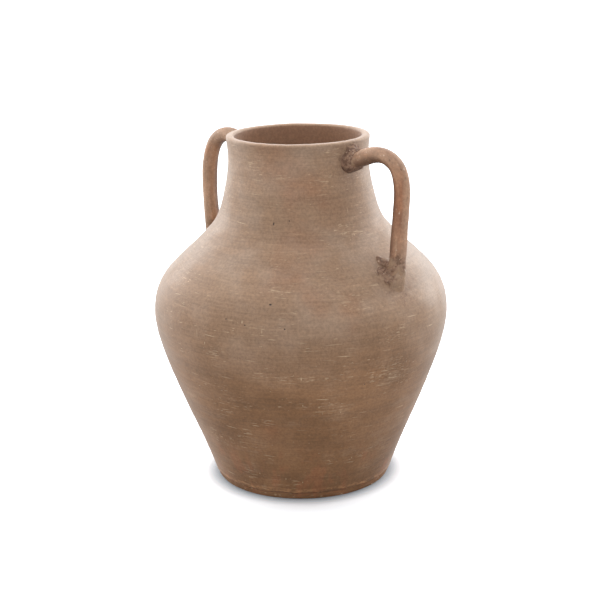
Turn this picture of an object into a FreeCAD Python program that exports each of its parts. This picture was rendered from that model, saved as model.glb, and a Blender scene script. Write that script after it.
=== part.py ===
"""A two-handled amphora of unglazed terracotta, in millimetres, +Z up.

The pot stands on Z = 0 with its axis on Z, and its handles lie in the XZ plane. It is made of
the clay pieces that a potter makes apart and lutes together with slip: a floor slab, a lower wall
thrown up to the belly, an upper wall with the shoulder, neck and lip, two pulled rod handles, and a
wad of luting clay pressed round each of the four handle ends.
"""

import FreeCAD
import Part

import math
import os

# ---- driving dimensions -------------------------------------------------------------------------
HEIGHT = 400.0              # floor to lip
WALL = 10.0                 # thickness of the thrown wall
SLAB_THICKNESS = 9.0        # floor slab
SLAB_FOOT_RADIUS = 101.0    # where the slab's side meets its rounded bottom edge
SLAB_TOP_RADIUS = 103.6     # a little inside the wall that stands on it
SLAB_EDGE_ROUND = 2.0
BELLY_JOINT_Z = 158.0       # where the upper wall was thrown onto the lower one
COVE_RADIUS = 9.0           # clay pressed into the corner of wall and floor, inside

MOUTH_RADIUS = 71.5         # the straight inside of the mouth
MOUTH_TOP_Z = HEIGHT - 3.5  # the straight stretch, below the rounded lip
MOUTH_LOW_Z = 375.0
LIP_ROUND = 3.5

# The outside of the wall, from the floor slab up: (radius, height).
OUTLINE = [
    (104.0, SLAB_THICKNESS),
    (123.4, 60.0),
    (140.0, 100.0),
    (155.1, 140.0),
    (164.5, 170.0),
    (169.2, 197.0),     # belly
    (162.7, 230.0),
    (148.7, 250.0),     # turn of the shoulder
    (127.6, 270.0),
    (108.0, 289.0),     # foot of the neck
    (95.8, 304.0),
    (87.0, 328.0),
    (80.0, 366.0),      # narrowest point of the neck
    (81.4, HEIGHT - LIP_ROUND),
]

# Centrelines of the handle rods, from inside the neck wall to inside the shoulder wall.
# Each was bent by hand, so the two differ a little.
RIGHT_ROUTE = [
    (73.0, 373.0), (84.0, 377.5), (104.0, 385.0), (127.0, 388.5), (146.0, 379.5),
    (154.0, 358.0), (153.5, 332.0), (151.0, 305.0), (148.5, 280.0), (146.0, 262.0), (142.0, 244.0),
]
LEFT_ROUTE = [
    (73.0, 371.0), (84.0, 377.0), (103.0, 385.0), (122.0, 386.5), (138.0, 377.5),
    (147.5, 359.0), (151.5, 333.0), (151.5, 306.0), (149.5, 280.0), (147.0, 262.0), (143.0, 244.0),
]
ROD_IN_PLANE = 8.4          # half the rod's thickness, in the plane that it is bent in
ROD_ACROSS = 9.0            # half its width across that plane
ROD_END_SWELL = [1.35, 1.25, 1.06]  # how much thicker the rod is at its ends, from the wall outwards

# Wads of luting clay: half-width, how far they stand off the wall, and how far down they are drawn.
NECK_WAD = {"radius": 16.5, "proud": 7.0, "drawn": 0.95}
SHOULDER_WAD = {"radius": 18.0, "proud": 7.5, "drawn": 1.08}

PARTS = "parts"
BIG = 1000.0


# ---- curves -------------------------------------------------------------------------------------
def point(radius, z):
    return FreeCAD.Vector(radius, 0, z)


def spline_edge(points):
    curve = Part.BSplineCurve()
    curve.interpolate([point(r, z) for r, z in points])
    return curve.toShape()


def inner_outline():
    """The inside of the wall: the outline moved inwards along its normal by the wall's thickness."""
    outside = spline_edge(OUTLINE).Curve
    points = []
    for radius, z in OUTLINE[1:-2]:
        along = outside.tangent(outside.parameter(point(radius, z)))[0]
        points.append((radius - WALL * along.z, z + WALL * along.x))
    foot = OUTLINE[0][0] - WALL
    return [(foot, SLAB_THICKNESS)] + points + [(MOUTH_RADIUS, MOUTH_LOW_Z)]


def revolve(edges):
    face = Part.Face(Part.Wire(edges))
    return face.revolve(FreeCAD.Vector(0, 0, 0), FreeCAD.Vector(0, 0, 1), 360)


def line(start, end):
    return Part.makeLine(point(*start), point(*end))


def quarter_round(centre, radius, start_deg):
    """A quarter circle from start_deg to start_deg + 90, counter-clockwise from +X towards +Z."""
    spots = []
    for degrees in (start_deg, start_deg + 45, start_deg + 90):
        turn = math.radians(degrees)
        spots.append(point(centre[0] + radius * math.cos(turn), centre[1] + radius * math.sin(turn)))
    return Part.Arc(*spots).toShape()


# ---- the thrown pieces --------------------------------------------------------------------------
def vessel_outside():
    """The whole pot as if it were full, which the handles and wads are trimmed against."""
    top_radius, top_z = OUTLINE[-1]
    return revolve([
        spline_edge(OUTLINE),
        line((top_radius, top_z), (top_radius, HEIGHT)),
        line((top_radius, HEIGHT), (0, HEIGHT)),
        line((0, HEIGHT), (0, SLAB_THICKNESS)),
        line((0, SLAB_THICKNESS), OUTLINE[0]),
    ])


def thrown_wall():
    """Both wall sections in one ring, before the belly joint parts them."""
    inside = inner_outline()
    top_radius, top_z = OUTLINE[-1]
    return revolve([
        spline_edge(OUTLINE),
        quarter_round((top_radius - LIP_ROUND, top_z), LIP_ROUND, 0),
        line((top_radius - LIP_ROUND, HEIGHT), (MOUTH_RADIUS + LIP_ROUND, HEIGHT)),
        quarter_round((MOUTH_RADIUS + LIP_ROUND, MOUTH_TOP_Z), LIP_ROUND, 90),
        line((MOUTH_RADIUS, MOUTH_TOP_Z), (MOUTH_RADIUS, MOUTH_LOW_Z)),
        spline_edge(inside),
        line(inside[0], OUTLINE[0]),
    ])


def layer(low_z, high_z):
    """Everything between two heights."""
    return Part.makeCylinder(BIG, high_z - low_z, FreeCAD.Vector(0, 0, low_z))


def cove():
    """A ring of clay with a hollow face, pressed into the inside corner of wall and floor."""
    corner = OUTLINE[0][0] - WALL
    into_wall = WALL / 2
    centre = (corner - COVE_RADIUS, SLAB_THICKNESS + COVE_RADIUS)
    return revolve([
        quarter_round(centre, COVE_RADIUS, 270),
        line((corner, centre[1]), (corner + into_wall, centre[1])),
        line((corner + into_wall, centre[1]), (corner + into_wall, SLAB_THICKNESS)),
        line((corner + into_wall, SLAB_THICKNESS), (centre[0], SLAB_THICKNESS)),
    ])


def lower_body():
    return thrown_wall().common(layer(SLAB_THICKNESS, BELLY_JOINT_Z)).fuse(cove()).removeSplitter()


def upper_body():
    return thrown_wall().common(layer(BELLY_JOINT_Z, HEIGHT + 1))


def base_slab():
    return revolve([
        line((0, 0), (SLAB_FOOT_RADIUS - SLAB_EDGE_ROUND, 0)),
        quarter_round((SLAB_FOOT_RADIUS - SLAB_EDGE_ROUND, SLAB_EDGE_ROUND), SLAB_EDGE_ROUND, 270),
        line((SLAB_FOOT_RADIUS, SLAB_EDGE_ROUND), (SLAB_TOP_RADIUS, SLAB_THICKNESS)),
        line((SLAB_TOP_RADIUS, SLAB_THICKNESS), (0, SLAB_THICKNESS)),
        line((0, SLAB_THICKNESS), (0, 0)),
    ])


# ---- the handles --------------------------------------------------------------------------------
def rod_scale(index, count):
    """How much thicker than its middle the rod is at one of its route's points."""
    from_end = min(index, count - 1 - index)
    return ROD_END_SWELL[from_end] if from_end < len(ROD_END_SWELL) else 1.0


def rod_section(centre, along, scale):
    """The rod's oval at one point of its route."""
    across = FreeCAD.Vector(0, 1, 0)
    in_plane = along.cross(across).normalize()
    oval = Part.Ellipse(
        centre + across * ROD_ACROSS * scale,
        centre + in_plane * ROD_IN_PLANE * scale,
        centre,
    )
    return Part.Wire(oval.toShape())


def rod(route):
    """The bent rod, lofted through one oval at each point, with its ends still inside the wall."""
    centreline = spline_edge(route).Curve
    sections = []
    for index, (radius, z) in enumerate(route):
        along = centreline.tangent(centreline.parameter(point(radius, z)))[0]
        sections.append(rod_section(point(radius, z), along, rod_scale(index, len(route))))
    return Part.makeLoft(sections, True, False)


def crossing(route):
    """Where the route leaves the neck and where it enters the shoulder, with the wall's slope there."""
    path = spline_edge(route)
    skin = spline_edge(OUTLINE)
    spots = [pair[0] for pair in path.distToShape(skin)[1]]
    spots.sort(key=lambda spot: -spot.z)
    found = []
    for spot in (spots[0], spots[-1]):
        along = skin.Curve.tangent(skin.Curve.parameter(spot))[0]
        found.append((spot, FreeCAD.Vector(along.z, 0, -along.x)))
    return found


def wad(spot, outward, size):
    """A flattened dome of clay on the wall round a rod's end, drawn out along the wall's slope."""
    half_width, proud = size["radius"], size["proud"]
    dome = Part.makeSphere(1.0)
    shape = FreeCAD.Matrix()
    shape.scale(FreeCAD.Vector(half_width * size["drawn"], half_width, proud))
    dome = dome.transformGeometry(shape)
    turn = FreeCAD.Rotation(FreeCAD.Vector(0, 0, 1), outward)
    dome.Placement = FreeCAD.Placement(spot, turn)
    return dome


def handle_pieces(route, outside):
    """A rod and its two wads on the +X side, each trimmed to the wall, and the wads to the rod."""
    bent = rod(route)
    neck_end, shoulder_end = crossing(route)
    neck_wad = wad(*neck_end, NECK_WAD).cut(outside).cut(bent)
    shoulder_wad = wad(*shoulder_end, SHOULDER_WAD).cut(outside).cut(bent)
    return bent.cut(outside), neck_wad, shoulder_wad


def to_left(shape):
    """Half a turn about the pot's axis."""
    turned = shape.copy()
    turned.rotate(FreeCAD.Vector(0, 0, 0), FreeCAD.Vector(0, 0, 1), 180)
    return turned


# ---- the assembly -------------------------------------------------------------------------------
def main():
    outside = vessel_outside()
    nodes = {
        "base_slab": base_slab(),
        "lower_body": lower_body(),
        "upper_body": upper_body(),
    }
    for side, route, place in (("right", RIGHT_ROUTE, Part.Shape.copy), ("left", LEFT_ROUTE, to_left)):
        bent, neck_wad, shoulder_wad = handle_pieces(route, outside)
        nodes[side + "_handle"] = place(bent)
        nodes[side + "_neck_luting"] = place(neck_wad)
        nodes[side + "_shoulder_luting"] = place(shoulder_wad)

    os.makedirs(PARTS, exist_ok=True)
    for name, shape in nodes.items():
        print(
            f"{name}: {len(shape.Solids)} solid, valid {shape.isValid()}, "
            f"{shape.Volume / 1000:.1f} cm3, z {shape.BoundBox.ZMin:.1f} to {shape.BoundBox.ZMax:.1f}"
        )
        shape.exportStep(os.path.join(PARTS, name + ".step"))


main()
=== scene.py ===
"""Looks of a two-handled terracotta amphora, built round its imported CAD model. Metres, +Z up.

Every clay piece is rebuilt on its CAD node with the unevenness of hand work: the thrown walls and
the floor slab are turned from the node's own outline, the handles are bent rods, and the luting
clay is a blend between rod and wall. All relief is in the frame's coordinates, so that the pieces
meet without a step.
"""

import math

import bpy
import numpy as np
from mathutils import Matrix, Vector


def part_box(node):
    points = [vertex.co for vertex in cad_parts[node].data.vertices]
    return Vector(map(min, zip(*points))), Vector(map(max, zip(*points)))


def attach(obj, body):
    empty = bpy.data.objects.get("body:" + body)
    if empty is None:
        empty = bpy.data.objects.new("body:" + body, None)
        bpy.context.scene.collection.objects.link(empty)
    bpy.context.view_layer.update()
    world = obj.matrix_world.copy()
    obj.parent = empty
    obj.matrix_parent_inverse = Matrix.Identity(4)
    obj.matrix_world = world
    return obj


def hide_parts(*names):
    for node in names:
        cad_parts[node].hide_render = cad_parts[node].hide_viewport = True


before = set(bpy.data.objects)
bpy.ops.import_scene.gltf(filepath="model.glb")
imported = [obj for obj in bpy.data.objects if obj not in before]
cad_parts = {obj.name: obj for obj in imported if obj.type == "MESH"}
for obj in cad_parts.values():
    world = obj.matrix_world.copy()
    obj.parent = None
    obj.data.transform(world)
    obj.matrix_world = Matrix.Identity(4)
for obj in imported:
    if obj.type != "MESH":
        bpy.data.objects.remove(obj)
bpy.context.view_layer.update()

MM = 0.001

# ---- driving values --------------------------------------------------
COLUMNS = 336                # round the pot
OUTER_ROW = 1.3 * MM         # height of a row of faces outside
INNER_ROW = 3.9 * MM         # and inside
LIP_STEPS = 14               # rows over the lip

# The rods' centrelines, in the XZ plane from the neck to the shoulder, in millimetres:
# (distance from the axis, height).
RIGHT_ROUTE = [
    (73.0, 373.0), (84.0, 377.5), (104.0, 385.0), (127.0, 388.5), (146.0, 379.5), (154.0, 358.0),
    (153.5, 332.0), (151.0, 305.0), (148.5, 280.0), (146.0, 262.0), (142.0, 244.0),
]
LEFT_ROUTE = [
    (73.0, 371.0), (84.0, 377.0), (103.0, 385.0), (122.0, 386.5), (138.0, 377.5), (147.5, 359.0),
    (151.5, 333.0), (151.5, 306.0), (149.5, 280.0), (147.0, 262.0), (143.0, 244.0),
]
ROD_IN_PLANE = 8.4 * MM      # half the rod's thickness, in the plane that it is bent in
ROD_ACROSS = 9.2 * MM        # half its width across that plane
ROD_MEAN = (ROD_IN_PLANE + ROD_ACROSS) / 2
ROD_SIDES = 72               # faces round the rod
ROD_RINGS = 330              # rows along it
BURIED = 4.0 * MM            # how deep the rods' ends sit in the wall

# Places rubbed in use, in degrees from +X and millimetres:
# (azimuth, height, half-width, half-height, strength).
SCUFFS = [
    (-12, 300, 22, 6, 1.0), (-10, 204, 16, 9, 1.0), (-47, 163, 42, 4, 0.9), (-79, 187, 8, 9, 1.0),
    (-55, 253, 12, 3, 0.9), (-57, 221, 9, 3, 0.9), (-71, 130, 12, 6, 0.8), (-44, 130, 26, 5, 0.7),
    (-64, 103, 10, 5, 0.7), (-21, 105, 9, 4, 0.6), (-5, 153, 24, 12, 0.8), (-59, 364, 9, 3, 0.9),
    (-24, 363, 10, 3, 0.9), (9, 352, 9, 8, 0.6), (-15, 388, 12, 6, 0.9), (-70, 25, 14, 7, 0.6),
]
# Small dark pits, in the same units: (azimuth, height, half-width, half-height).
PITS = [
    (-57, 243, 1.5, 0.9), (-51, 220, 0.9, 0.9), (-66, 222, 0.8, 0.8), (-63, 316, 0.9, 2.4),
    (-52, 319, 0.6, 1.3), (-74, 226, 0.9, 0.8), (24, 217, 1.0, 0.8), (-20, 150, 0.8, 1.0),
    (100, 250, 1.2, 0.9), (190, 180, 1.0, 1.4),
]
HIDDEN_SCUFFS = 16           # more scuffs, drawn at random, on the side away from the front

LIP_DROP = 3.5 * MM          # how far below the top the rounded lip starts
COVE_RADIUS = 9.0 * MM       # of the clay pressed into the inner foot of the wall
ENDS_FADE = 2.6 * MM         # over which relief dies out at a wall section's two ends
GROOVE_PITCH = 7.5 * MM      # of the finger grooves inside
BELLY_SPREAD = 26 * MM       # how far above and below the belly it is worn down
SHARP_ANGLE = 60             # degrees between faces, above which an edge is drawn sharp


# ---- noise -----------------------------------------------------------
LATTICE = 32
TABLES = {}


def noise(points, size, seed):
    """Smooth noise from -1 to 1. size is how big its lumps are, as one length or one per axis."""
    if seed not in TABLES:
        TABLES[seed] = np.random.default_rng(seed).uniform(-1, 1, (LATTICE,) * 3)
    place = np.asarray(points) / np.asarray(size) + 7.3
    cell = np.floor(place).astype(np.int64)
    part = place - cell
    part = part * part * part * (part * (part * 6 - 15) + 10)
    total = 0.0
    for corner in range(8):
        step = np.array([corner & 1, corner >> 1 & 1, corner >> 2 & 1])
        weight = np.prod(np.where(step, part, 1 - part), axis=-1)
        at = (cell + step) % LATTICE
        total = total + weight * TABLES[seed][at[..., 0], at[..., 1], at[..., 2]]
    return total


def smoothstep(low, high, value):
    part = np.clip((value - low) / (high - low), 0, 1)
    return part * part * (3 - 2 * part)


def spline(knots, values, at):
    """Natural cubic spline through (knots, values), read at the given places."""
    knots, values = np.asarray(knots, float), np.asarray(values, float)
    gap = np.diff(knots)
    slope = np.diff(values) / gap
    matrix, target = np.eye(len(knots)), np.zeros(len(knots))
    for i in range(1, len(knots) - 1):
        matrix[i, i - 1:i + 2] = gap[i - 1], 2 * (gap[i - 1] + gap[i]), gap[i]
        target[i] = 6 * (slope[i] - slope[i - 1])
    bend = np.linalg.solve(matrix, target)
    k = np.clip(np.searchsorted(knots, at) - 1, 0, len(gap) - 1)
    after, before, width = at - knots[k], knots[k + 1] - at, gap[k]
    return (
        (bend[k] * before**3 + bend[k + 1] * after**3) / (6 * width)
        + (values[k] / width - bend[k] * width / 6) * before
        + (values[k + 1] / width - bend[k + 1] * width / 6) * after
    )


# ---- the turned outlines, read from the CAD nodes --------------------
def turned_points(node, painted_outer_sheen):
    """(height, radius) of a turned node's outer or inner face, one for each of its vertices."""
    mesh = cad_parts[node].data
    co = np.zeros(len(mesh.vertices) * 3, np.float32)
    mesh.vertices.foreach_get("co", co)
    co = co.reshape(-1, 3).astype(float)
    normal = np.zeros(len(mesh.vertices) * 3, np.float32)
    mesh.vertex_normals.foreach_get("vector", normal)
    normal = normal.reshape(-1, 3)
    radius = np.hypot(co[:, 0], co[:, 1])
    facing = (normal[:, 0] * co[:, 0] + normal[:, 1] * co[:, 1]) / np.maximum(radius, 1e-6)
    keep = facing > 0.25 if painted_outer_sheen else facing < -0.25
    return np.column_stack([co[keep, 2], radius[keep]])


def wall_table(painted_outer_sheen):
    """Heights and radii along the whole wall, evenly spaced and smoothed over a few millimetres."""
    spots = np.vstack([turned_points(n, painted_outer_sheen) for n in ("lower_body", "upper_body")])
    spots = spots[np.argsort(spots[:, 0])]
    heights = np.arange(spots[0, 0], spots[-1, 0], 0.5 * MM)
    radii = np.interp(heights, spots[:, 0], spots[:, 1])
    padded = np.pad(radii, 3, mode="reflect", reflect_type="odd")
    return heights, np.convolve(padded, np.ones(7) / 7, mode="valid")


FLOOR_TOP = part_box("base_slab")[1].z
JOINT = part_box("upper_body")[0].z
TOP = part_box("upper_body")[1].z
OUTER = wall_table(True)
INNER = wall_table(False)
BELLY_Z = OUTER[0][np.argmax(OUTER[1])]


def outer_radius(height):
    return np.interp(height, *OUTER)


def inner_radius(height):
    return np.interp(height, *INNER)


def outer_slope(height):
    """How fast the outer radius grows with height."""
    return (outer_radius(height + MM) - outer_radius(height - MM)) / (2 * MM)


# ---- relief of the thrown walls --------------------------------------
def round_pot(angle, height, radius=0.12):
    """Points that noise is read at: on a cylinder, whatever the pot's width is there."""
    parts = np.broadcast_arrays(radius * np.cos(angle), radius * np.sin(angle), height)
    return np.stack(parts, axis=-1)


def outside_relief(angle, height):
    """How far the outer wall stands off its ideal outline: swells, rings and scraper marks."""
    at = round_pot(angle, height)
    swell = 0.42 * MM * noise(at, 0.085, 11) + 0.16 * MM * noise(at, 0.034, 12)
    rings = 0.13 * MM * noise(at, (0.30, 0.30, 0.0085), 13)
    scraping = 0.075 * MM * noise(at, (0.055, 0.055, 0.0036), 14)
    fade = smoothstep(TOP, TOP - 12 * MM, height)
    joint = -0.10 * MM * np.exp(-(((height - JOINT) / (2.2 * MM)) ** 2))
    joint = joint * (0.6 + 0.6 * noise(at, 0.05, 15))
    widest = np.exp(-(((height - BELLY_Z) / BELLY_SPREAD) ** 2))
    return swell + (rings + scraping) * (0.35 + 0.65 * fade) + joint - (0.15 + 0.50 * widest) * MM


def inside_relief(angle, height):
    """Finger grooves that climb inside the pot, left unscraped."""
    at = round_pot(angle, height)
    climb = height + GROOVE_PITCH * angle / (2 * math.pi)
    grooves = 0.30 * MM * np.cos(2 * math.pi * climb / GROOVE_PITCH)
    grooves = grooves * (0.55 + 0.45 * noise(at, 0.06, 21))
    fade = smoothstep(TOP - 4 * MM, TOP - 16 * MM, height)
    return (
        grooves * fade * smoothstep(TOP - 4 * MM, TOP - 40 * MM, height)
        + 0.35 * MM * noise(at, 0.07, 22) + 0.10 * MM * noise(at, (0.08, 0.08, 0.003), 23) * fade
    )


# ---- meshes ----------------------------------------------------------
def make_mesh(name, points, faces, attributes=None):
    """A smooth-shaded mesh object from points and faces, with named values on its points."""
    mesh = bpy.data.meshes.new(name)
    mesh.from_pydata(points.tolist(), [], faces)
    mesh.update()
    mesh.polygons.foreach_set("use_smooth", [True] * len(mesh.polygons))
    mesh.set_sharp_from_angle(angle=math.radians(SHARP_ANGLE))
    for key, values in (attributes or {}).items():
        mesh.attributes.new(key, "FLOAT", "POINT").data.foreach_set("value", values.astype(np.float32))
    piece = bpy.data.objects.new(name, mesh)
    bpy.context.scene.collection.objects.link(piece)
    return piece


def ring_faces(rows, columns, closed):
    """Quads over rows of points that run round a ring. closed joins the last row to the first."""
    faces = []
    for row in range(rows if closed else rows - 1):
        low, high = row * columns, (row + 1) % rows * columns
        for column in range(columns):
            after = (column + 1) % columns
            faces.append((low + column, low + after, high + after, high + column))
    return faces


def fan_faces(first, columns, hub, turned):
    """Triangles from a row's points to one hub."""
    pairs = [(first + column, first + (column + 1) % columns) for column in range(columns)]
    return [(b, a, hub) if turned else (a, b, hub) for a, b in pairs]


def turn(radii, heights, angles):
    """Points of turned rows: radii and heights have one value per row and column."""
    parts = np.broadcast_arrays(radii * np.cos(angles), radii * np.sin(angles), heights)
    return np.stack(parts, axis=-1)


ANGLES = np.linspace(0, 2 * math.pi, COLUMNS, endpoint=False)[None, :]


def along_outline(heights_table, low, high, pitch):
    """Heights from low to high that are pitch apart along the outline."""
    heights = np.linspace(low, high, 400)
    radii = np.interp(heights, *heights_table)
    length = np.concatenate([[0], np.cumsum(np.hypot(np.diff(heights), np.diff(radii)))])
    count = int(round(length[-1] / pitch)) + 1
    return np.interp(np.linspace(0, length[-1], count), length, heights)


def outer_rows(low, high):
    """The outer wall's points, moved along the wall's normal by its relief."""
    heights = along_outline(OUTER, low, high, OUTER_ROW)[:, None]
    slope = outer_slope(heights)
    across = 1 / np.sqrt(1 + slope**2)
    relief = outside_relief(ANGLES, heights)
    ends = np.minimum(smoothstep(0, ENDS_FADE, heights - low), smoothstep(0, ENDS_FADE, high - heights))
    lift = -slope * across * relief * ends
    return turn(outer_radius(heights) + relief * across, heights + lift, ANGLES)


def inner_rows(high, low):
    """The inner wall's points, from the top row to the bottom one."""
    heights = along_outline(INNER, low, high, INNER_ROW)[::-1, None]
    return turn(inner_radius(heights) - inside_relief(ANGLES, heights), heights, ANGLES)


def lip_rows(low_z):
    """The worn lip: over from the outer wall to the inner one, a little uneven all round."""
    outer, inner = outer_radius(low_z), inner_radius(low_z)
    middle, half = (outer + inner) / 2, (outer - inner) / 2
    turn_angle = np.linspace(0, math.pi, LIP_STEPS + 2)[1:-1, None]
    side, rise = np.cos(turn_angle), np.sin(turn_angle)
    at = round_pot(ANGLES, TOP)
    outer_shift = outside_relief(ANGLES, low_z)
    inner_shift = -inside_relief(ANGLES, low_z)
    blend = (1 + side) / 2
    radii = middle + half * np.sign(side) * np.abs(side) ** 0.78
    radii = radii + outer_shift * blend + inner_shift * (1 - blend)
    worn = 0.45 * MM * (1 + noise(at, 0.045, 31)) * 0.5
    worn = worn + 0.35 * MM * np.clip(noise(at, 0.011, 32), 0, 1) ** 2
    heights = low_z + (TOP - low_z - worn - 0.15 * MM) * rise ** 0.75
    return turn(radii, heights, ANGLES)


def hidden_scuffs():
    """Rubbed places on the far side of the pot, in the same form as SCUFFS."""
    draw = np.random.default_rng(12)
    lowest, highest = (45, 30, 10, 4, 0.6), (255, 380, 28, 9, 0.95)
    return [tuple(draw.uniform(lowest, highest)) for _ in range(HIDDEN_SCUFFS)]


def wall_piece(name, rows):
    """A closed ring of wall from its rows, up the outside and down the inside."""
    points = np.concatenate(rows)
    count = len(points)
    points = points.reshape(-1, 3)
    ragged = 0.006 * noise(points, 0.009, 81) + 0.003 * noise(points, 0.004, 82)
    smeared = np.zeros(len(points))
    for joint, reach in SMEARS:
        gap = np.linalg.norm(points - joint, axis=1) + ragged
        smeared = np.maximum(smeared, smoothstep(reach, reach * 0.45, gap))
    depth = ideal_wall_distance(points)
    smeared *= depth > -5 * MM
    scuffed = np.zeros(len(points))
    azimuth = np.degrees(np.arctan2(points[:, 1], points[:, 0]))
    for middle, height, half_width, half_height, strength in SCUFFS + hidden_scuffs():
        across = np.radians((azimuth - middle + 180) % 360 - 180) * outer_radius(points[:, 2])
        above = points[:, 2] - height * MM
        spread = (across / (half_width * MM)) ** 2 + (above / (half_height * MM)) ** 2
        scuffed = np.maximum(scuffed, strength * np.exp(-spread))
    scuffed *= 0.8 + 0.5 * noise(points, 0.012, 91)
    inside = smoothstep(-4 * MM, -8 * MM, depth)
    values = {"smeared": smeared, "inside": inside, "scuffed": scuffed}
    return make_mesh(name, points, ring_faces(count, COLUMNS, True), values)


def build_upper():
    """The upper wall: belly, shoulder, neck and lip."""
    low_z = TOP - LIP_DROP
    rows = [outer_rows(JOINT, low_z), lip_rows(low_z), inner_rows(low_z, JOINT)]
    return wall_piece("upper_wall", rows)


def build_lower():
    """The lower wall, with the cove of clay at its inner foot."""
    cove_top = FLOOR_TOP + COVE_RADIUS
    inside = inner_rows(JOINT, cove_top)
    swing = np.radians(np.linspace(10, 90, 8))[:, None]
    radii = inner_radius(cove_top) - COVE_RADIUS * (1 - np.cos(swing))
    heights = FLOOR_TOP + COVE_RADIUS * (1 - np.sin(swing)) + 0 * ANGLES
    rows = [outer_rows(FLOOR_TOP, JOINT), inside, turn(radii + 0 * ANGLES, heights, ANGLES)]
    return wall_piece("lower_wall", rows)


def build_slab():
    """The floor slab: a disc with a rubbed bottom edge, its side a little uneven from trimming."""
    (x_low, _, _), (x_high, _, slab_top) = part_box("base_slab")
    top_radius = (x_high - x_low) / 2
    foot_radius = top_radius - 2.6 * MM
    edge = 2.4 * MM
    under = np.linspace(8 * MM, foot_radius - edge, 26)
    bend = np.radians(np.linspace(-75, 0, 6))
    side = np.linspace(edge + 0.8 * MM, slab_top - 0.6 * MM, 9)
    over = np.linspace(top_radius - 1.2 * MM, 8 * MM, 34)
    radii = np.concatenate([
        under, foot_radius - edge + edge * np.cos(bend),
        foot_radius + (top_radius - foot_radius) * side / slab_top, over,
    ])[:, None]
    heights = np.concatenate([
        0 * under, edge + edge * np.sin(bend), side, 0 * over + slab_top,
    ])[:, None]
    at = round_pot(ANGLES, heights, 0.10)
    rim = smoothstep(0.075, 0.095, radii)
    rough = (0.35 * noise(at, 0.03, 41) + 0.28 * noise(at, (0.009, 0.009, 0.004), 42) - 0.45) * MM
    lowest = smoothstep(0, 2 * MM, heights)
    on_top = smoothstep(slab_top - 0.1 * MM, slab_top, heights)
    spiral = np.cos(2 * math.pi * (radii / 0.009 + ANGLES / (2 * math.pi)))
    hollow = on_top * (1 - rim) * (0.25 * MM * spiral - 0.35 * MM)
    points = turn(radii + rough * rim * (0.3 + 0.7 * lowest), heights + hollow, ANGLES)
    rows = len(points)
    points = points.reshape(-1, 3)
    hubs = np.array([[0, 0, 0], [0, 0, slab_top - 0.35 * MM]])
    faces = ring_faces(rows, COLUMNS, False)
    faces += fan_faces(0, COLUMNS, len(points), True)
    faces += fan_faces((rows - 1) * COLUMNS, COLUMNS, len(points) + 1, False)
    return make_mesh("floor_slab", np.vstack([points, hubs]), faces)


# ---- the handles -----------------------------------------------------
def wall_distance(points):
    """Signed distance of points from the uneven outer wall, above zero outside."""
    radius = np.hypot(points[..., 0], points[..., 1])
    height = points[..., 2]
    slope = outer_slope(height)
    relief = outside_relief(np.arctan2(points[..., 1], points[..., 0]), height)
    return (radius - outer_radius(height)) / np.sqrt(1 + slope**2) - relief


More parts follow.
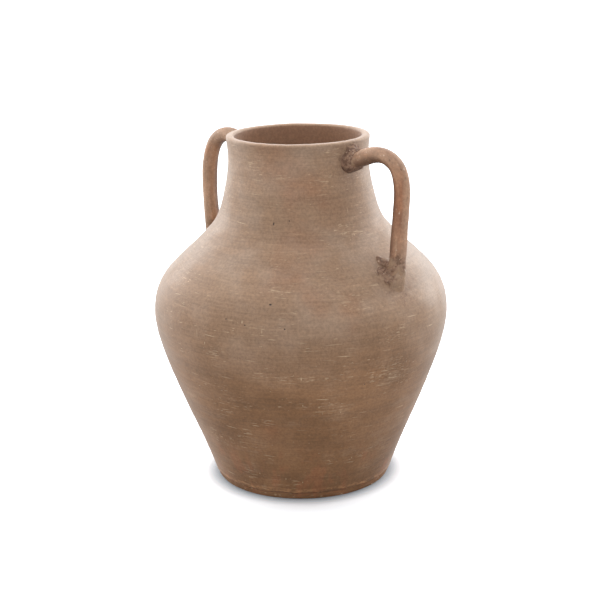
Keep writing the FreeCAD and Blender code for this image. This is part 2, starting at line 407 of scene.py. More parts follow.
class Rod:
    """A bent clay rod on the +X or -X side of the pot."""

    def __init__(self, route, side):
        spots = np.array(route) * MM
        self.side = side
        chord = np.concatenate([[0], np.cumsum(np.hypot(*np.diff(spots, axis=0).T))])
        self.along = np.linspace(0, chord[-1], 420)
        x = spline(chord, spots[:, 0], self.along)
        z = spline(chord, spots[:, 1], self.along)
        self.centre = np.stack([side * x, 0 * x, z], axis=-1)
        step = np.gradient(self.centre, axis=0)
        step /= np.linalg.norm(step, axis=1)[:, None]
        self.in_plane = np.stack([-step[:, 2], 0 * x, step[:, 0]], axis=-1) * side
        buried = wall_distance(self.centre)
        out = np.nonzero(buried > 0)[0]
        self.neck, self.shoulder = self.centre[out[0]], self.centre[out[-1]]
        self.free = self.along[out[0]], self.along[out[-1]]

    def swell(self, along):
        """How much thicker the rod is near its ends."""
        from_neck = along - self.free[0]
        from_shoulder = self.free[1] - along
        return (
            1 + 0.06 * smoothstep(40 * MM, 20 * MM, from_neck)
            + 0.12 * smoothstep(16 * MM, -4 * MM, from_neck)
            + 0.22 * smoothstep(30 * MM, -6 * MM, from_shoulder)
        )

    def surface(self, along, angle):
        """Points of the rod's skin: along its route, and round it from the outer side of the bend."""
        centre, plane = (
            np.stack([np.interp(along, self.along, table[:, i]) for i in range(3)], axis=-1)
            for table in (self.centre, self.in_plane)
        )
        across = np.array([0.0, 1.0, 0.0])
        size = self.swell(along)
        a = ROD_IN_PLANE * size
        b = ROD_ACROSS * size
        at = np.stack([0.011 * np.cos(angle), 0.011 * np.sin(angle), along], axis=-1)
        at = at + 0.5 * self.side
        lumps = 0.42 * noise(at, (0.016, 0.016, 0.032), 51) + 0.20 * noise(at, (0.007, 0.007, 0.013), 52)
        pulled = 0.26 * noise(at, (0.0062, 0.0062, 0.085), 53)
        skin = (lumps + pulled) * MM
        return (
            centre + plane * ((a + skin) * np.cos(angle))[..., None]
            + across * ((b + skin) * np.sin(angle))[..., None]
        )

    def build(self, name):
        """A closed tube. Each line along it is cut where it is BURIED deep in the wall at both ends."""
        angles = np.linspace(0, 2 * math.pi, ROD_SIDES, endpoint=False)
        fine = self.along[:, None] + 0 * angles[None, :]
        depth = wall_distance(self.surface(fine, np.broadcast_to(angles, fine.shape)))
        starts, ends = [], []
        for column in range(ROD_SIDES):
            out = np.nonzero(depth[:, column] > -BURIED)[0]
            starts.append(self.along[out[0]])
            ends.append(self.along[out[-1]])
        share = np.linspace(0, 1, ROD_RINGS)[:, None]
        along = np.array(starts)[None, :] * (1 - share) + np.array(ends)[None, :] * share
        points = self.surface(along, np.broadcast_to(angles, along.shape))
        smeared = smoothstep(19 * MM, 8 * MM, along - self.free[0])
        smeared = np.maximum(smeared, smoothstep(46 * MM, 14 * MM, self.free[1] - along))
        turned = np.broadcast_to(angles, along.shape)
        # Painted shade: darker underneath the rod and on its inner side, towards the neck.
        facing_down = -np.cos(turned) * np.interp(along, self.along, self.in_plane[:, 2])
        shaded_side = -(np.cos(turned) + self.side * np.sin(turned)) / math.sqrt(2)
        hubs = np.stack([points[0].mean(axis=0), points[-1].mean(axis=0)])
        flat = points.reshape(-1, 3)
        faces = ring_faces(ROD_RINGS, ROD_SIDES, False)
        faces += fan_faces(0, ROD_SIDES, len(flat), True)
        faces += fan_faces((ROD_RINGS - 1) * ROD_SIDES, ROD_SIDES, len(flat) + 1, False)
        if self.side < 0:
            faces = [face[::-1] for face in faces]
        values = {
            "smeared": smeared, "painted_underside_shade": smoothstep(0.25, 0.95, facing_down),
            "painted_side_shade": smoothstep(0.60, 1.0, shaded_side),
            "unrolled_x": ROD_MEAN * np.cos(turned), "unrolled_y": ROD_MEAN * np.sin(turned),
            "unrolled_z": along + 0.5 * self.side,
        }
        values = {key: np.append(value.reshape(-1), [1, 1]) for key, value in values.items()}
        return make_mesh(name, np.vstack([flat, hubs]), faces, values)

    def distance(self, points, middle, reach):
        """Signed distance of points from the rod's skin, looking within reach of the middle."""
        close = np.linalg.norm(self.centre - middle, axis=1) < reach
        best = np.full(len(points), 1e9)
        place = np.zeros(len(points))
        for spot, along in zip(self.centre[close][::2], self.along[close][::2]):
            gap = ((points - spot) ** 2).sum(axis=1)
            closer = gap < best
            best[closer] = gap[closer]
            place[closer] = along
        return np.sqrt(best) - ROD_MEAN * self.swell(place)


# ---- luting clay: a blend between rod and wall, drawn as the zero level of a field ----
NET_STEP = 0.65 * MM         # of the grid that the field is worked out on
FIELD_LIMIT = 3.0 * MM       # the field is kept within this of zero
LUTING_DEPTH = 2.4 * MM      # how deep the clay reaches into the wall and the rod
ROD_STRETCH = 50 * MM        # how far from a joint the rod is looked for


def surface_net(values, low, step):
    """The closed zero level of a field on a grid, as points and quads. It is below zero inside."""
    inside = values < 0
    sizes = np.array(values.shape) - 1
    corners = [(i & 1, i >> 1 & 1, i >> 2 & 1) for i in range(8)]

    def shifted(array, corner):
        return array[tuple(slice(c, c + n) for c, n in zip(corner, sizes))]

    count = sum(shifted(inside, c).astype(int) for c in corners)
    active = (count > 0) & (count < 8)
    index = np.full(active.shape, -1)
    index[active] = np.arange(active.sum())
    total = np.zeros((active.sum(), 3))
    crossings = np.zeros(active.sum())
    for first in corners:
        for axis in range(3):
            if first[axis]:
                continue
            second = tuple(1 if i == axis else c for i, c in enumerate(first))
            a, b = shifted(values, first)[active], shifted(values, second)[active]
            crosses = (a < 0) != (b < 0)
            share = np.where(crosses, a / np.where(crosses, a - b, 1), 0)
            spot = np.array(first, float) + np.eye(3)[axis] * share[:, None]
            total += spot * crosses[:, None]
            crossings += crosses
    points = low + step * (np.argwhere(active) + total / crossings[:, None])
    faces = []
    for axis in range(3):
        u, v = (axis + 1) % 3, (axis + 2) % 3
        here = inside[tuple(slice(0, -1) if i == axis else slice(None) for i in range(3))]
        there = inside[tuple(slice(1, None) if i == axis else slice(None) for i in range(3))]
        spots = np.argwhere(here != there)
        keep = (spots[:, [u, v]] > 0).all(axis=1) & (spots[:, [u, v]] < sizes[[u, v]]).all(axis=1)
        spots = spots[keep]
        leaving = here[tuple(spots.T)]
        quads = []
        for du, dv in ((1, 1), (0, 1), (0, 0), (1, 0)):
            cell = spots.copy()
            cell[:, u] -= du
            cell[:, v] -= dv
            quads.append(index[tuple(cell.T)])
        quads = np.stack(quads, axis=1)
        quads[~leaving] = quads[~leaving][:, ::-1]
        faces += quads.tolist()
    return points, faces


def soft_union(a, b, reach):
    """The union of two fields with a fillet of about the given reach between them."""
    mix = np.clip(0.5 + 0.5 * (b - a) / reach, 0, 1)
    return b + (a - b) * mix - reach * mix * (1 - mix)


def luting_field(points, from_wall, from_rod, joint, size):
    """Below zero inside the luting clay: ragged dabs on the wall, a collar on the rod, and a fillet."""
    offset = (points - joint) / MM
    offset[:, 1] *= size["side"]
    seed = size["seed"]
    ragged = 0.30 * noise(points, 0.0095, seed) + 0.16 * noise(points, 0.0040, seed + 1)
    rough = 0.70 * noise(points, 0.0042, seed + 2) + 0.48 * noise(points, 0.0021, seed + 3)
    pits = -1.1 * np.clip(noise(points, 0.0048, seed + 4) - 0.35, 0, 1)
    pad = np.full(len(points), -9.0)
    for across, up, half_width, half_height, thickness in size["dabs"]:
        from_middle = (offset[:, 1] - across) / half_width, (offset[:, 2] - up) / half_height
        spread = ragged + np.hypot(*from_middle)
        dab = thickness * np.clip(1 - spread**2, 0, 1) - 3.2 * smoothstep(0.86, 1.32, spread)
        pad = np.maximum(pad, dab)
    pad = pad * MM
    climb = from_wall / size["creep"] + ragged
    collar = size["collar"] * (0.3 + 0.7 * smoothstep(-14, -2, offset[:, 2]))
    creep = (collar * smoothstep(1.0, 0.5, climb) - 3.0 * smoothstep(0.85, 1.35, climb)) * MM
    texture = (rough + pits) * MM * smoothstep(-1.5 * MM, 0.5 * MM, pad)
    return soft_union(from_rod - creep, from_wall - pad, size["fillet"]) - texture * 0.6


def ideal_wall_distance(points):
    """Distance from the even outer wall, for choosing where the field is worth working out."""
    radius = np.hypot(points[..., 0], points[..., 1])
    return (radius - outer_radius(points[..., 2])) / np.sqrt(1 + outer_slope(points[..., 2]) ** 2)


def build_luting(name, rod, joint, size):
    """The luting clay round one of a rod's joints. The field is worked out only near its zero level."""
    reach = np.array([size["reach"] + 4 * MM, size["reach"], size["reach"]])
    low = joint - reach
    counts = np.ceil(2 * reach / NET_STEP).astype(int)
    grids = np.meshgrid(*[low[i] + NET_STEP * np.arange(counts[i]) for i in range(3)], indexing="ij")
    points = np.stack(grids, axis=-1)
    values = np.full(points.shape[:3], FIELD_LIMIT)
    off_ideal = ideal_wall_distance(points)
    places = np.argwhere((off_ideal > -5 * MM) & (off_ideal < size["creep"] * 1.6))
    chosen = points[tuple(places.T)]
    from_rod = rod.distance(chosen, joint, ROD_STRETCH)
    likely = soft_union(from_rod, ideal_wall_distance(chosen), size["fillet"])
    thickest = max(dab[-1] for dab in size["dabs"])
    shell = (likely < (thickest + 2) * MM) & (from_rod > -4 * MM)
    places, chosen, from_rod = places[shell], chosen[shell], from_rod[shell]
    from_wall = wall_distance(chosen)
    clay = luting_field(chosen, from_wall, from_rod, joint, size)
    closed = np.maximum(clay, np.maximum(-from_wall - LUTING_DEPTH, -from_rod - LUTING_DEPTH))
    values[tuple(places.T)] = np.clip(closed, -FIELD_LIMIT, FIELD_LIMIT)
    values[[0, -1]] = values[:, [0, -1]] = values[:, :, [0, -1]] = FIELD_LIMIT
    spots, faces = surface_net(values, low, NET_STEP)
    off_wall, off_rod = wall_distance(spots), rod.distance(spots, joint, ROD_STRETCH)
    fades_low, fades_high = size["fades"]
    across, up = (spots[:, 1] - joint[1]) * size["side"] / MM, (spots[:, 2] - joint[2]) / MM
    above = smoothstep(fades_low, fades_high, up - size["tilt"] * across)
    # Painted shade: darker in the corner between rod and wall, and under the rod's root.
    corner = smoothstep(5.0 * MM, 2.0 * MM, np.hypot(off_wall, off_rod))
    under_rod = 0.85 * smoothstep(0, -7, up) * smoothstep(13, 6, np.abs(across + 3))
    on_rod = smoothstep(1.2 * size["creep"], 0.8 * size["creep"], off_wall)
    values = {
        "proud": smoothstep(-0.1 * MM, 1.0 * MM, off_wall) * on_rod * above,
        "painted_crevice_shade": np.maximum(corner, under_rod) * above,
    }
    return make_mesh(name, spots, faces, values)


# Dabs of luting clay, as seen from straight outside the joint, in millimetres:
# (to the right, up, half-width, half-height, thickness).
# The clay climbs the rod by "creep", as thick as "collar", and rounds the corner by "fillet".
# Its own colour fades out downwards over "fades", along a line that rises to the right by "tilt".
NECK_LUTING = {
    "dabs": [(3, 8, 15, 12, 1.8), (1, 15, 10, 5.5, 4.6), (-5, 5, 8, 8, 4.0), (10, 14, 7, 4, 3.4)],
    "creep": 20 * MM, "collar": 2.4, "fillet": 4.5 * MM, "reach": 28 * MM, "fades": (-16, -11),
    "tilt": 0.0, "seed": 60,
}
SHOULDER_LUTING = {
    "dabs": [(-5, 8, 13, 9, 1.3), (2, 17.0, 9, 6, 8.5), (-9, 9, 7, 7, 2.2)],
    "creep": 15 * MM, "collar": 1.0, "fillet": 8 * MM, "reach": 30 * MM, "fades": (8, 29),
    "tilt": 1.2, "seed": 70,
}

RODS = {"right": Rod(RIGHT_ROUTE, 1), "left": Rod(LEFT_ROUTE, -1)}
# Where luting clay is smeared over the wall: (joint, how far from it).
SMEARS = []
for rod in RODS.values():
    SMEARS += [(rod.neck, 36 * MM), (rod.shoulder, 40 * MM)]

pieces = {
    "floor_slab": (build_slab(), "base_slab", "foot_clay"),
    "lower_wall": (build_lower(), "lower_body", "body_clay"),
    "upper_wall": (build_upper(), "upper_body", "body_clay"),
}
for side_name, rod in RODS.items():
    pieces[side_name + "_rod"] = (rod.build(side_name + "_rod"), side_name + "_handle", "handle_clay")
    ends = {"neck": (rod.neck, NECK_LUTING), "shoulder": (rod.shoulder, SHOULDER_LUTING)}
    for end, (joint, size) in ends.items():
        place = side_name + "_" + end
        size = {**size, "side": rod.side, "seed": size["seed"] + (5 if rod.side < 0 else 0)}
        smear = build_luting(place + "_smear", rod, joint, size)
        pieces[place + "_smear"] = (smear, place + "_luting", "luting_clay")


# ---- clay materials --------------------------------------------------
def srgb(red, green, blue):
    """A colour given in 0 to 255 screen values, as the linear values that a shader takes."""
    share = np.array([red, green, blue]) / 255
    linear = np.where(share <= 0.04045, share / 12.92, ((share + 0.055) / 1.055) ** 2.4)
    return (*linear.tolist(), 1.0)


class Graph:
    """The node tree of a new material or world, with one short call per kind of node."""

    def __init__(self, name, library=bpy.data.materials):
        self.owner = library.new(name)
        self.owner.use_nodes = True
        self.tree = self.owner.node_tree
        self.tree.nodes.clear()
        self.place = self.add("ShaderNodeTexCoord").outputs["Object"]
        self.height = self.add("ShaderNodeSeparateXYZ", {0: self.place}).outputs[2]

    def add(self, kind, inputs=None, **settings):
        """A new node. Each input is linked, if it is given a socket, or else set."""
        node = self.tree.nodes.new(kind)
        for key, value in settings.items():
            setattr(node, key, value)
        for key, value in (inputs or {}).items():
            if isinstance(value, bpy.types.NodeSocket):
                self.tree.links.new(value, node.inputs[key])
            else:
                node.inputs[key].default_value = value
        return node

    def math(self, operation, a, b=0.0, clamp=False):
        return self.add("ShaderNodeMath", {0: a, 1: b}, operation=operation, use_clamp=clamp).outputs[0]

    def plus(self, a, b, clamp=False):
        return self.math("ADD", a, b, clamp)

    def minus(self, a, b):
        return self.math("SUBTRACT", a, b)

    def times(self, a, b):
        return self.math("MULTIPLY", a, b)

    def most(self, a, b):
        return self.math("MAXIMUM", a, b)

    def size_of(self, value):
        """A value without its sign."""
        return self.math("ABSOLUTE", value)

    def span(self, value, low, high, to_low=0.0, to_high=1.0):
        """A value eased from the range low to high into another range."""
        inputs = {0: value, 1: low, 2: high, 3: to_low, 4: to_high}
        return self.add("ShaderNodeMapRange", inputs, interpolation_type="SMOOTHSTEP").outputs[0]

    def mix(self, share, a, b, blend="MIX"):
        node = self.add("ShaderNodeMix", {0: share, 6: a, 7: b}, data_type="RGBA", blend_type=blend)
        return node.outputs[2]

    def shaded(self, colour, shade):
        """A colour made darker or lighter by a factor."""
        tone = self.add("ShaderNodeCombineColor", {0: shade, 1: shade, 2: shade}).outputs[0]
        return self.mix(1.0, colour, tone, "MULTIPLY")

    def stretch(self, scale, tilt=(0, 0, 0), shift=(0, 0, 0)):
        """The place on the piece, turned by tilt, then scaled and shifted."""
        turned = self.add("ShaderNodeMapping", {"Vector": self.place, "Rotation": tilt})
        inputs = {"Vector": turned.outputs[0], "Scale": scale, "Location": shift}
        return self.add("ShaderNodeMapping", inputs).outputs[0]

    def noise(self, scale, detail=2.0, roughness=0.5, shift=(0, 0, 0)):
        """Noise from 0 to 1. scale is how many lumps there are to a metre, or one number per axis."""
        scale = scale if isinstance(scale, tuple) else (scale,) * 3
        inputs = {"Vector": self.stretch(scale, shift=shift), "Scale": 1.0}
        inputs.update({"Detail": detail, "Roughness": roughness})
        return self.add("ShaderNodeTexNoise", inputs).outputs["Fac"]

    def marks(self, scale, size, share, tilt=(0, 0, 0), shift=(0, 0, 0)):
        """Separate marks, one in each cell of a stretched lattice, of which only a share is kept."""
        inputs = {"Vector": self.stretch(scale, tilt, shift), "Scale": 1.0}
        cells = self.add("ShaderNodeTexVoronoi", inputs)
        chance = self.add("ShaderNodeSeparateColor", {0: cells.outputs["Color"]})
        mark = self.span(cells.outputs["Distance"], size, size * 0.4)
        kept = self.math("LESS_THAN", chance.outputs[0], share)
        strength = self.span(self.math("POWER", chance.outputs[1], 2.0), 0.0, 1.0, 0.22, 1.0)
        return self.times(self.times(mark, kept), strength)

    def value_of(self, name):
        """One of the values that make_mesh put on the points."""
        return self.add("ShaderNodeAttribute", attribute_name=name).outputs["Fac"]

    def finish(self, colour, roughness, relief, depth, sheen, gloss=0.5):
        """Joins colour, roughness and relief, which is depth metres high, to a Principled shader."""
        bump = self.add("ShaderNodeBump", {"Height": relief, "Distance": depth, "Strength": 1.0})
        shader = self.add("ShaderNodeBsdfPrincipled", {
            "Base Color": colour, "Roughness": roughness, "Normal": bump.outputs[0], "IOR": 1.5,
            "Sheen Weight": sheen, "Sheen Roughness": 0.38, "Sheen Tint": (1.0, 1.0, 1.0, 1.0),
            "Specular IOR Level": gloss,
        })
        self.add("ShaderNodeOutputMaterial", {0: shader.outputs[0]})
        return self.owner


UPPER_PALE, UPPER_WARM = srgb(161, 134, 112), srgb(153, 122, 96)
LOWER_PALE, LOWER_DARK = srgb(142, 104, 71), srgb(126, 90, 58)
REDDISH, HAZE, SCRATCH = srgb(150, 97, 64), srgb(170, 143, 118), srgb(222, 196, 164)
INSIDE, LIP_WEAR_AND_HIGHLIGHT, PIT = srgb(160, 119, 93), srgb(196, 160, 132), srgb(52, 36, 28)
SLIP_DARK, SLIP_MID, SPECK = srgb(106, 77, 60), srgb(152, 120, 99), srgb(216, 192, 170)
ROD_WARM, ROD_DEEP, ROD_PALE = srgb(168, 117, 86), srgb(138, 93, 67), srgb(190, 152, 122)
SHADED, TAN, WORN_EDGE = srgb(84, 60, 46), srgb(182, 154, 130), srgb(186, 136, 94)


def scratches(g):
    """Short pale scratches, mostly round the pot, thick in the scuffed places and rare elsewhere."""
    chance = g.span(g.noise((18, 18, 40), 3.0, 0.6, shift=(3, 1, 5)), 0.52, 0.72, 0.0, 0.45)
    crowd = g.plus(g.times(g.value_of("scuffed"), 0.85), chance, clamp=True)
    layers = [
        g.marks((75, 75, 1150), 0.44, g.times(crowd, 0.60), (0.02, -0.02, 0.3), (0.3, 0.1, 0.7)),
        g.marks((150, 150, 1350), 0.44, g.times(crowd, 0.80), (-0.06, 0.04, 1.1), (5.3, 2.1, 3.7)),
        g.marks((46, 46, 1000), 0.42, g.times(crowd, 0.45), (0.10, 0.07, 2.0), (9.1, 4.4, 1.2)),
        g.marks((42, 42, 850), 0.42, 0.030, (0.05, -0.05, 0.8), (2.2, 8.4, 6.6)),
        g.marks((700, 700, 70), 0.50, g.times(crowd, 0.10), (0.05, 0.08, 0.2), (4.1, 3.3, 9.2)),
    ]
    together = layers[0]
    for layer in layers[1:]:
        together = g.most(together, layer)
    return together


def pits(g):
    """The PITS, as a mask that is 1 in their middles."""
    together = None
    for azimuth, height, half_width, half_height in PITS:
        radius, turned = float(outer_radius(height * MM)), math.radians(azimuth)
        middle = (radius * math.cos(turned), radius * math.sin(turned), height * MM)
        size = (half_width * MM, half_width * MM, half_height * MM)
        offset = g.add("ShaderNodeVectorMath", {0: g.place, 1: middle}, operation="SUBTRACT")
        scaled = g.add("ShaderNodeVectorMath", {0: offset.outputs[0], 1: size}, operation="DIVIDE")
        away = g.add("ShaderNodeVectorMath", {0: scaled.outputs[0]}, operation="LENGTH")
        mask = g.span(away.outputs["Value"], 1.4, 0.5)
        together = g.most(together, mask) if together else mask
    return together


def thrown_clay(g):
    """Colour, roughness and relief of the wheel-thrown wall."""
    mottle = g.noise(17, 4.0, 0.55)
    broad = g.noise(5.5, 2.0, shift=(4, 4, 4))
    bands = g.noise((5, 5, 75), 3.0, 0.6, shift=(1, 2, 3))
    lines = g.noise((26, 26, 620), 3.0, 0.6)
    swayed = g.plus(g.height, g.times(g.minus(broad, 0.5), 0.16))
    high = g.span(swayed, 0.125, 0.265)
    upper = g.mix(g.span(mottle, 0.36, 0.62), UPPER_PALE, UPPER_WARM)
    lower = g.mix(g.span(mottle, 0.36, 0.64), LOWER_PALE, LOWER_DARK)
    colour = g.mix(high, lower, upper)
    red = g.span(g.noise(9, 3.0, shift=(8, 3, 1)), 0.56, 0.74, 0.0, 0.42)
    colour = g.mix(red, colour, REDDISH)
    cloud = g.span(g.noise((20, 20, 42), 4.0, 0.62, shift=(2, 7, 7)), 0.50, 0.76, 0.0, 0.32)
    haze = g.times(cloud, g.span(lines, 0.3, 0.62, 0.45, 1.0))
    colour = g.mix(haze, colour, HAZE)
    # Reddish smudges wiped upwards from the foot.
    wiped = g.span(g.noise((70, 70, 15), 3.0, 0.6, shift=(6, 1, 4)), 0.50, 0.66, 0.0, 0.55)
    colour = g.mix(g.times(wiped, g.span(g.height, 0.085, 0.030)), colour, REDDISH)
    # The seam over the floor slab, dark in places, with a worn edge just above it.
    wavy = g.plus(g.height, g.span(g.noise(45, 3.0, shift=(3, 5, 2)), 0.3, 0.7, -1.2 * MM, 1.2 * MM))
    over_seam = g.span(wavy, FLOOR_TOP - 1 * MM, FLOOR_TOP + 1 * MM)
    edge = g.times(over_seam, g.span(wavy, 15.5 * MM, 12.0 * MM))
    worn = g.span(g.noise((95, 95, 330), 4.0, 0.7, shift=(8, 2, 6)), 0.46, 0.62, 0.0, 0.78)
    colour = g.mix(g.times(edge, worn), colour, WORN_EDGE)
    seam = g.span(g.size_of(g.minus(wavy, FLOOR_TOP - 0.8 * MM)), 1.5 * MM, 0.4 * MM)
    seam = g.times(seam, g.span(g.noise(28, 3.0, shift=(2, 6, 1)), 0.38, 0.58, 0.05, 0.42))
    colour = g.mix(seam, colour, SHADED)
    shade = g.plus(g.span(bands, 0.3, 0.7, 0.92, 1.06), g.span(lines, 0.3, 0.7, -0.075, 0.075))
    colour = g.shaded(colour, shade)
    inside = g.value_of("inside")
    colour = g.mix(g.times(inside, 0.75), colour, INSIDE)
    # The top of the lip is paler: partly wear, partly a painted highlight.
    lip = g.plus(g.height, g.times(g.noise(130, 3.0, 0.6), 0.004))
    colour = g.mix(g.span(lip, TOP - 1.8 * MM, TOP + 1.4 * MM, 0.0, 0.45), colour, LIP_WEAR_AND_HIGHLIGHT)
    scratch = g.times(scratches(g), g.minus(1.0, inside))
    colour = g.mix(g.times(scratch, 0.68), colour, SCRATCH)
    grit = g.marks((330,) * 3, 0.26, 0.10, shift=(6, 6, 2))
    colour = g.mix(g.times(grit, 0.6), colour, HAZE)
    pit = g.most(pits(g), g.marks((64,) * 3, 0.070, 0.16, shift=(1, 9, 4)))
    colour = g.mix(pit, colour, PIT)
    roughness = g.plus(g.span(mottle, 0.3, 0.7, -0.06, 0.06), g.times(scratch, 0.12))
    roughness = g.plus(roughness, g.span(g.height, 0.06, 0.24, 0.72, 0.54))
    grain = g.noise(780, 3.0, 0.65)
    freckle = g.noise(330, 2.0, 0.7, shift=(5, 6, 7))
    shade = g.span(freckle, 0.25, 0.75, 0.85, 1.15)
    colour = g.shaded(colour, shade)
    raised = g.plus(g.times(grain, 0.30), g.times(lines, 0.55))
    relief = g.minus(raised, g.plus(g.times(pit, 2.0), g.times(scratch, 0.25)))
    return colour, roughness, relief


def slip_clay(g):
    """Colour, roughness and relief of the rough clay that the joints are luted with."""
    blotch = g.noise(270, 4.0, 0.65, shift=(3, 3, 3))
    colour = g.mix(g.span(blotch, 0.40, 0.60), SLIP_DARK, SLIP_MID)
    fine_specks = g.marks((420,) * 3, 0.38, 0.42, shift=(2, 5, 8))
    specks = g.most(fine_specks, g.marks((240,) * 3, 0.32, 0.22, shift=(7, 5, 1)))
    colour = g.mix(g.times(specks, 0.8), colour, SPECK)
    relief = g.plus(g.times(g.noise(420, 4.0, 0.65), 1.6), g.times(specks, 0.6))
    return colour, g.span(blotch, 0.3, 0.7, 0.62, 0.82), relief


def blended(g, share, first, second):
    """One (colour, roughness, relief) mixed into another."""
    colour = g.mix(share, first[0], second[0])
    numbers = []
    for a, b in zip(first[1:], second[1:]):
        node = g.add("ShaderNodeMix", {0: share, 2: a, 3: b}, data_type="FLOAT")
        numbers.append(node.outputs[0])
    return colour, *numbers


def wall_material(name, sheen):
    """The thrown wall, with some luting clay smeared over it near the joints."""
    g = Graph(name)
    patchy = g.span(g.noise(150, 4.0, 0.6), 0.40, 0.70, 0.0, 0.55)
    share = g.times(g.value_of("smeared"), patchy)
    colour, roughness, relief = blended(g, share, thrown_clay(g), slip_clay(g))
    return g.finish(colour, roughness, relief, 0.22 * MM, sheen)


def luting_material():
    """Rough luting clay where it stands proud, the wall's clay where it thins out, and painted shade in
    the corner round the rod and under its root.
    """
    g = Graph("luting_clay")
    ragged = g.span(g.noise(160, 3.0), 0.3, 0.7, -0.40, 0.35)
    share = g.span(g.plus(g.value_of("proud"), ragged), 0.05, 0.80, 0.0, 0.95)
    colour, roughness, relief = blended(g, share, thrown_clay(g), slip_clay(g))
    # Painted shade in the corner round the rod and under its root.
    patchy = g.span(g.noise(210, 3.0, 0.6, shift=(1, 4, 9)), 0.30, 0.56, 0.25, 0.95)
    colour = g.mix(g.times(g.value_of("painted_crevice_shade"), patchy), colour, SHADED)
    return g.finish(colour, roughness, relief, 0.35 * MM, 0.04)


def rod_material():
    """The pulled rods: warmer clay, stroked smooth lengthways, with a tan film and pale flecks, painted
    sheen on the outer side of the bend, and painted shade underneath and on the inner side.
    """
    g = Graph("rod_clay")
    unrolled = {axis: g.value_of("unrolled_" + letter) for axis, letter in enumerate("xyz")}
    g.place = g.add("ShaderNodeCombineXYZ", unrolled).outputs[0]
    blotch = g.noise(42, 4.0, 0.6, shift=(5, 1, 1))
    strokes = g.noise((260, 260, 22), 3.0, 0.6)
    colour = g.mix(g.span(blotch, 0.36, 0.66), ROD_DEEP, ROD_WARM)
    colour = g.mix(g.span(strokes, 0.52, 0.72, 0.0, 0.55), colour, ROD_PALE)
    splashed = g.span(g.noise(95, 4.0, 0.65, shift=(2, 2, 9)), 0.58, 0.74, 0.0, 0.5)
    colour = g.mix(splashed, colour, SLIP_MID)
    worn = g.span(g.noise(60, 3.0, 0.6, shift=(1, 6, 2)), 0.40, 0.65, 0.12, 0.60)
    flecks = g.marks((290, 290, 230), 0.36, worn, shift=(4, 8, 1))
    flecks = g.most(flecks, g.marks((430, 430, 120), 0.40, g.times(worn, 0.5), shift=(2, 2, 5)))
    roughness = g.span(strokes, 0.3, 0.7, 0.50, 0.64)
    relief = g.plus(g.times(strokes, 0.9), g.times(g.noise(520, 3.0, 0.6), 0.5))
    nicks = g.marks((260, 260, 200), 0.34, g.times(worn, 0.6), shift=(9, 2, 3))
    # Painted sheen: the outer side of the bend is paler tan.
    painted_outer_sheen = g.span(unrolled[0], 0.55 * ROD_MEAN, ROD_MEAN, 0.0, 0.48)
    along = g.size_of(g.minus(g.size_of(unrolled[2]), 0.5))
    at_bend = g.plus(g.span(along, 0.110, 0.070, 0.0, 0.52), g.span(along, 0.120, 0.165, 0.0, 0.34))
    left_rod = g.span(unrolled[2], 0.0, -0.1, 0.0, 0.64)
    tan_film_and_sheen = g.most(g.most(painted_outer_sheen, at_bend), left_rod)
    patchy = g.span(g.noise((75, 75, 30), 4.0, 0.65, shift=(3, 3, 7)), 0.25, 0.60, 0.45, 1.0)
    colour = g.mix(g.times(tan_film_and_sheen, patchy), colour, TAN)
    colour = g.mix(g.times(flecks, 0.75), colour, SPECK)
    colour = g.mix(g.times(nicks, 0.55), colour, SHADED)
    # Painted shade: darker underneath the rod and on its inner side, towards the neck.
    colour = g.mix(g.times(g.value_of("painted_underside_shade"), 0.75), colour, SHADED)
    colour = g.mix(g.times(g.value_of("painted_side_shade"), 0.60), colour, SHADED)
    fine = g.span(g.noise(390, 2.0, 0.7, shift=(5, 6, 7)), 0.25, 0.75, 0.86, 1.14)
    coarse = g.span(g.noise((150, 150, 90), 3.0, 0.6, shift=(7, 7, 1)), 0.3, 0.7, 0.90, 1.10)
    colour = g.shaded(colour, g.times(fine, coarse))
    ragged = g.span(g.noise(130, 4.0, 0.6), 0.25, 0.75, -0.35, 0.35)
    share = g.span(g.plus(g.value_of("smeared"), ragged), 0.2, 0.8)
    rooted = g.span(g.plus(along, g.times(ragged, 0.005)), 0.011, 0.007)
    slipped = g.most(g.span(g.noise(80, 3.0), 0.35, 0.65), rooted)
    wet = blended(g, slipped, thrown_clay(g), slip_clay(g))
    colour, roughness, relief = blended(g, share, (colour, roughness, relief), wet)
    return g.finish(colour, roughness, relief, 0.25 * MM, 0.05, 0.4)


def slab_material():
    """The floor slab: the wall's clay, reddish in patches, with pale chips along its edge."""
    g = Graph("slab_clay")
    colour, roughness, relief = thrown_clay(g)
    rubbed = g.span(g.noise((70, 70, 240), 4.0, 0.6, shift=(3, 8, 2)), 0.50, 0.70, 0.0, 0.7)
    colour = g.mix(rubbed, colour, REDDISH)
    chips = g.marks((180, 180, 420), 0.40, 0.20, shift=(1, 1, 6))
    colour = g.mix(g.times(chips, 0.7), colour, SCRATCH)
    return g.finish(colour, roughness, relief, 0.25 * MM, 0.06)


# One material for each kind of piece, by the end of its node's name.
MATERIALS = {
    "lower_body": wall_material("lower_clay", 0.27),
    "upper_body": wall_material("upper_clay", 0.36),
    "base_slab": slab_material(),
    "handle": rod_material(),
    "luting": luting_material(),
}

for piece, node, slot in pieces.values():
    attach(piece, "root")
    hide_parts(node)
    kind = next(ending for ending in MATERIALS if node.endswith(ending))
    piece.data.materials.append(MATERIALS[kind])


# ---- floor, light and camera -----------------------------------------
FLOOR_RADIUS = 30.0
FLOOR_SHADE, FLOOR_PALE = (0.52, 0.58, 0.64, 1.0), (1.36, 1.42, 1.48, 1.0)
FLOOR_BOUNCE = (0.62, 0.61, 0.60, 1.0)
CONTACT_REACH = 19 * MM      # how far from the foot the floor is darkened
# As in Graph.span: 1.95 where the direction is away from the camera, 0.86 where it is towards it.
SKY_STRENGTH = (-0.9, 0.5, 1.95, 0.86)
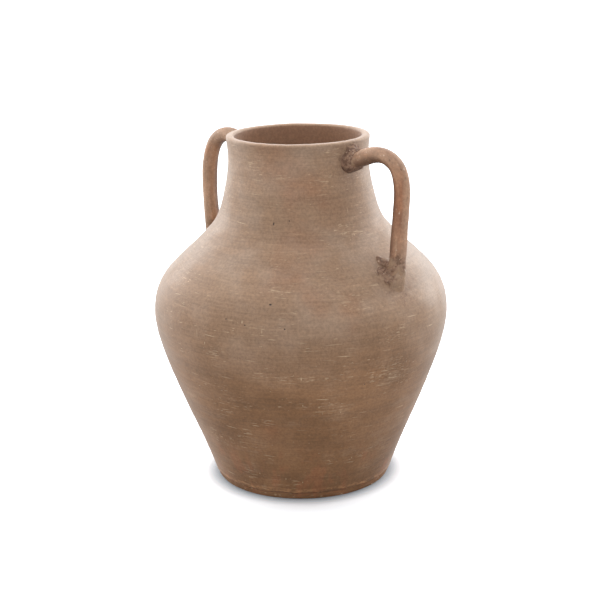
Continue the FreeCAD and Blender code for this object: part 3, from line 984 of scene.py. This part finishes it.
# (name, azimuth and elevation in degrees, distance, size, power)
SOFTBOXES = [
    ("left_key", 226, 60, 1.9, 1.3, 2.5), ("left_rim", 190, 14, 1.9, 1.2, 11.5),
    ("right_rim", 84, 14, 1.9, 1.2, 12),
]
AIM = Vector((0, 0, 0.22))   # where the softboxes point
CAMERA_AZIMUTH = math.radians(45)
CAMERA_DISTANCE = 1.600
CAMERA_HEIGHT = 0.651
PITCH, ROLL, YAW = math.radians(15.56), math.radians(-1.02), math.radians(0.032)
SENSOR_WIDTH, LENS = 36.0, 86.0


def floor_material():
    """Paper pale enough to be over-exposed, which throws back less light on the pot than it shows."""
    g = Graph("floor_paper")
    # Close round the foot it is darker, as far as the pot hides the floor's own surroundings.
    hidden = g.add("ShaderNodeAmbientOcclusion", {"Distance": CONTACT_REACH}).outputs["AO"]
    contact = g.add("ShaderNodeMapRange", {"Value": hidden, "From Min": 0.35, "From Max": 0.98})
    shown = g.mix(contact.outputs["Result"], FLOOR_SHADE, FLOOR_PALE)
    seen = g.add("ShaderNodeBsdfDiffuse", {"Color": shown}).outputs[0]
    thrown_back = g.add("ShaderNodeBsdfDiffuse", {"Color": FLOOR_BOUNCE}).outputs[0]
    by_camera = g.add("ShaderNodeLightPath").outputs["Is Camera Ray"]
    choice = g.add("ShaderNodeMixShader", {0: by_camera, 1: thrown_back, 2: seen})
    g.add("ShaderNodeOutputMaterial", {0: choice.outputs[0]})
    return g.owner


def studio_world():
    """White light from all round, stronger from behind the pot."""
    g = Graph("studio", bpy.data.worlds)
    direction = g.add("ShaderNodeTexCoord").outputs["Generated"]
    to_camera = (math.sin(CAMERA_AZIMUTH), -math.cos(CAMERA_AZIMUTH), 0.0)
    facing = g.add("ShaderNodeVectorMath", {0: direction, 1: to_camera}, operation="DOT_PRODUCT")
    strength = g.span(facing.outputs["Value"], *SKY_STRENGTH)
    sky = g.add("ShaderNodeBackground", {"Color": (1.0, 1.0, 1.0, 1.0), "Strength": strength})
    g.add("ShaderNodeOutputWorld", {0: sky.outputs[0]})
    return g.owner


def softbox(name, azimuth, elevation, distance, size, power):
    """A square area light aimed at AIM. Azimuth is counter-clockwise from +X, in degrees."""
    lamp = bpy.data.lights.new(name, "AREA")
    lamp.size = size
    lamp.energy = power
    box = bpy.data.objects.new(name, lamp)
    turn_to, lift = math.radians(azimuth), math.radians(elevation)
    level_part = math.cos(lift)
    away = Vector((math.cos(turn_to) * level_part, math.sin(turn_to) * level_part, math.sin(lift)))
    box.location = away * distance + AIM
    box.rotation_mode = "QUATERNION"
    box.rotation_quaternion = away.to_track_quat("Z", "Y")
    bpy.context.scene.collection.objects.link(box)


bpy.ops.mesh.primitive_circle_add(vertices=96, radius=FLOOR_RADIUS, fill_type="NGON")
floor = bpy.context.object
floor.name = "floor"
floor.data.materials.append(floor_material())

bpy.context.scene.world = studio_world()
for values in SOFTBOXES:
    softbox(*values)

camera_data = bpy.data.cameras.new("camera")
camera_data.sensor_width = SENSOR_WIDTH
camera_data.lens = LENS
camera_data.clip_end = 200.0
camera = bpy.data.objects.new("camera", camera_data)
bpy.context.scene.collection.objects.link(camera)
bpy.context.scene.camera = camera
camera.matrix_world = (
    Matrix.Rotation(CAMERA_AZIMUTH, 4, "Z") @ Matrix.Translation((0, -CAMERA_DISTANCE, CAMERA_HEIGHT))
    @ Matrix.Rotation(math.pi / 2 - PITCH, 4, "X") @ Matrix.Rotation(YAW, 4, "Y")
    @ Matrix.Rotation(ROLL, 4, "Z")
)
bpy.context.scene.view_settings.view_transform = "Standard"
